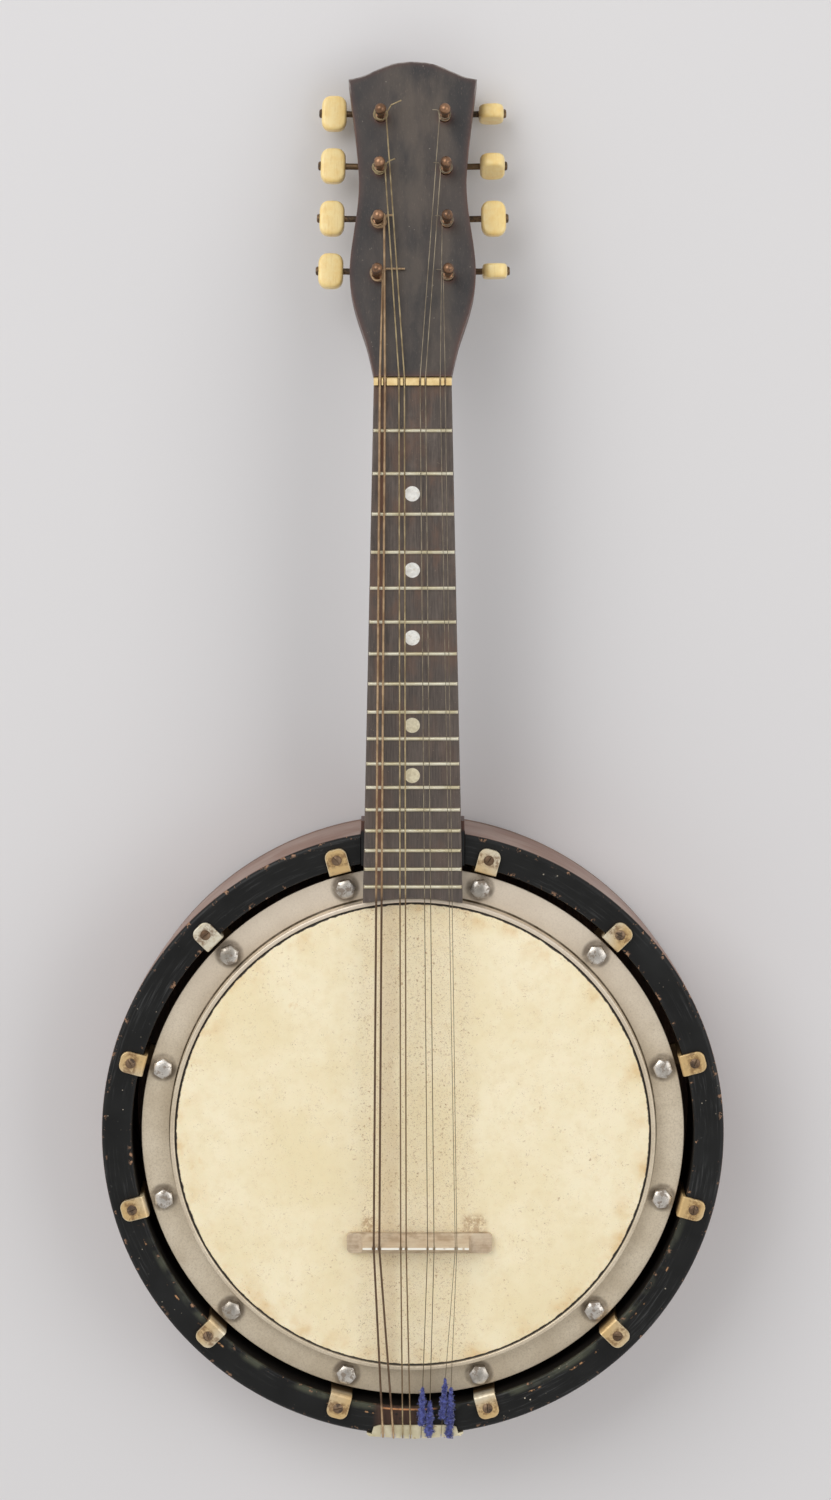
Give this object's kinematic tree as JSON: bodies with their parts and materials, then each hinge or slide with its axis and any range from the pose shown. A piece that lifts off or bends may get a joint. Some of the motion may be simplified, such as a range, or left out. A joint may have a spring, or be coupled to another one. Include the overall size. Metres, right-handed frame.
{
  "type": "banjolin",
  "caption": "Fretted instrument with paired strings: a skin drum held by brackets in a closed round wooden body, a slim neck, and a slotless headstock with worm-geared tuners.",
  "frame": {"origin": "centre of the round flat back, on the surface that the instrument lies on", "axes": "+Z out of the skin, away from the flat back; +Y along the neck towards the headstock; +X to the high strings"},
  "size_m": [0.258, 0.5725, 0.0706],
  "materials": {
    "dark_wood": "worn dark varnish with brown edges",
    "board_wood": "dry dark wood with lengthwise streaks, brass frets",
    "bone": "yellowed, dull",
    "black_paint": "black painted front with worn edges, brown polished side",
    "brown_wood": "satin varnish",
    "brass": "dull, tarnished",
    "skin": "matt, stained",
    "nickel": "satin nickel plate, worn",
    "bridge_wood": "pale matt wood with grain",
    "bracket_metal": "worn plate over brass",
    "wound_wire": "wound wire, tarnished",
    "plain_wire": "bright wire",
    "post_metal": "brown patina",
    "ivoroid": "cream, semi-gloss"
  },
  "bodies": {
    "instrument": {"neck": "dark_wood", "fingerboard": "board_wood", "nut": "bone", "body_rim": "black_paint", "body_back": "brown_wood", "tone_hoop": "brass", "skin_head": "skin", "clamp_ring": "nickel", "bridge": "bridge_wood", "tailpiece": "nickel", "bracket_1": "bracket_metal", "bracket_2": "bracket_metal", "bracket_3": "bracket_metal", "bracket_4": "bracket_metal", "bracket_5": "bracket_metal", "bracket_6": "bracket_metal", "bracket_7": "bracket_metal", "bracket_8": "bracket_metal", "bracket_9": "bracket_metal", "bracket_10": "bracket_metal", "bracket_11": "bracket_metal", "bracket_12": "bracket_metal", "tension_bolt_1": "nickel", "tension_bolt_2": "nickel", "tension_bolt_3": "nickel", "tension_bolt_4": "nickel", "tension_bolt_5": "nickel", "tension_bolt_6": "nickel", "tension_bolt_7": "nickel", "tension_bolt_8": "nickel", "tension_bolt_9": "nickel", "tension_bolt_10": "nickel", "tension_bolt_11": "nickel", "tension_bolt_12": "nickel", "string_1": "wound_wire", "string_2": "wound_wire", "string_3": "wound_wire", "string_4": "wound_wire", "string_5": "plain_wire", "string_6": "plain_wire", "string_7": "plain_wire", "string_8": "plain_wire", "tuner_plate_left": "brass", "tuner_plate_right": "brass"},
    "key_1": {"tuner_key_1": "ivoroid"},
    "post_1": {"tuner_post_1": "post_metal"},
    "key_2": {"tuner_key_2": "ivoroid"},
    "post_2": {"tuner_post_2": "post_metal"},
    "key_3": {"tuner_key_3": "ivoroid"},
    "post_3": {"tuner_post_3": "post_metal"},
    "key_4": {"tuner_key_4": "ivoroid"},
    "post_4": {"tuner_post_4": "post_metal"},
    "key_5": {"tuner_key_5": "ivoroid"},
    "post_5": {"tuner_post_5": "post_metal"},
    "key_6": {"tuner_key_6": "ivoroid"},
    "post_6": {"tuner_post_6": "post_metal"},
    "key_7": {"tuner_key_7": "ivoroid"},
    "post_7": {"tuner_post_7": "post_metal"},
    "key_8": {"tuner_key_8": "ivoroid"},
    "post_8": {"tuner_post_8": "post_metal"}
  },
  "joints": [
    {"name": "key_1_turn", "type": "hinge", "parent": "instrument", "child": "key_1", "pos_m": [-0.0142, 0.3554, 0.02983], "axis": [0.9998, -0.0192, 0.0059], "continuous": true},
    {"name": "key_2_turn", "type": "hinge", "parent": "instrument", "child": "key_2", "pos_m": [-0.01376, 0.37634, 0.02343], "axis": [0.9998, -0.0192, 0.0059], "continuous": true},
    {"name": "key_3_turn", "type": "hinge", "parent": "instrument", "child": "key_3", "pos_m": [-0.01332, 0.39728, 0.01702], "axis": [0.9998, -0.0192, 0.0059], "continuous": true},
    {"name": "key_4_turn", "type": "hinge", "parent": "instrument", "child": "key_4", "pos_m": [-0.01288, 0.41822, 0.01062], "axis": [0.9998, -0.0192, 0.0059], "continuous": true},
    {"name": "key_5_turn", "type": "hinge", "parent": "instrument", "child": "key_5", "pos_m": [0.01288, 0.41822, 0.01062], "axis": [0.9998, 0.0192, -0.0059], "continuous": true},
    {"name": "key_6_turn", "type": "hinge", "parent": "instrument", "child": "key_6", "pos_m": [0.01332, 0.39728, 0.01702], "axis": [0.9998, 0.0192, -0.0059], "continuous": true},
    {"name": "key_7_turn", "type": "hinge", "parent": "instrument", "child": "key_7", "pos_m": [0.01376, 0.37634, 0.02343], "axis": [0.9998, 0.0192, -0.0059], "continuous": true},
    {"name": "key_8_turn", "type": "hinge", "parent": "instrument", "child": "key_8", "pos_m": [0.0142, 0.3554, 0.02983], "axis": [0.9998, 0.0192, -0.0059], "continuous": true},
    {"name": "post_1_turn", "type": "hinge", "parent": "instrument", "child": "post_1", "pos_m": [-0.01431, 0.35588, 0.04986], "axis": [0, 0.2924, 0.9563], "continuous": true},
    {"name": "post_2_turn", "type": "hinge", "parent": "instrument", "child": "post_2", "pos_m": [-0.01387, 0.37682, 0.04346], "axis": [0, 0.2924, 0.9563], "continuous": true},
    {"name": "post_3_turn", "type": "hinge", "parent": "instrument", "child": "post_3", "pos_m": [-0.01343, 0.39776, 0.03706], "axis": [0, 0.2924, 0.9563], "continuous": true},
    {"name": "post_4_turn", "type": "hinge", "parent": "instrument", "child": "post_4", "pos_m": [-0.01299, 0.4187, 0.03066], "axis": [0, 0.2924, 0.9563], "continuous": true},
    {"name": "post_5_turn", "type": "hinge", "parent": "instrument", "child": "post_5", "pos_m": [0.01299, 0.4187, 0.03066], "axis": [0, 0.2924, 0.9563], "continuous": true},
    {"name": "post_6_turn", "type": "hinge", "parent": "instrument", "child": "post_6", "pos_m": [0.01343, 0.39776, 0.03706], "axis": [0, 0.2924, 0.9563], "continuous": true},
    {"name": "post_7_turn", "type": "hinge", "parent": "instrument", "child": "post_7", "pos_m": [0.01387, 0.37682, 0.04346], "axis": [0, 0.2924, 0.9563], "continuous": true},
    {"name": "post_8_turn", "type": "hinge", "parent": "instrument", "child": "post_8", "pos_m": [0.01431, 0.35588, 0.04986], "axis": [0, 0.2924, 0.9563], "continuous": true}
  ],
  "couplings": [
    {"joint": "post_1_turn", "follows": "key_1_turn", "ratio": 0.083333},
    {"joint": "post_2_turn", "follows": "key_2_turn", "ratio": 0.083333},
    {"joint": "post_3_turn", "follows": "key_3_turn", "ratio": 0.083333},
    {"joint": "post_4_turn", "follows": "key_4_turn", "ratio": 0.083333},
    {"joint": "post_5_turn", "follows": "key_5_turn", "ratio": 0.083333},
    {"joint": "post_6_turn", "follows": "key_6_turn", "ratio": 0.083333},
    {"joint": "post_7_turn", "follows": "key_7_turn", "ratio": 0.083333},
    {"joint": "post_8_turn", "follows": "key_8_turn", "ratio": 0.083333}
  ]
}
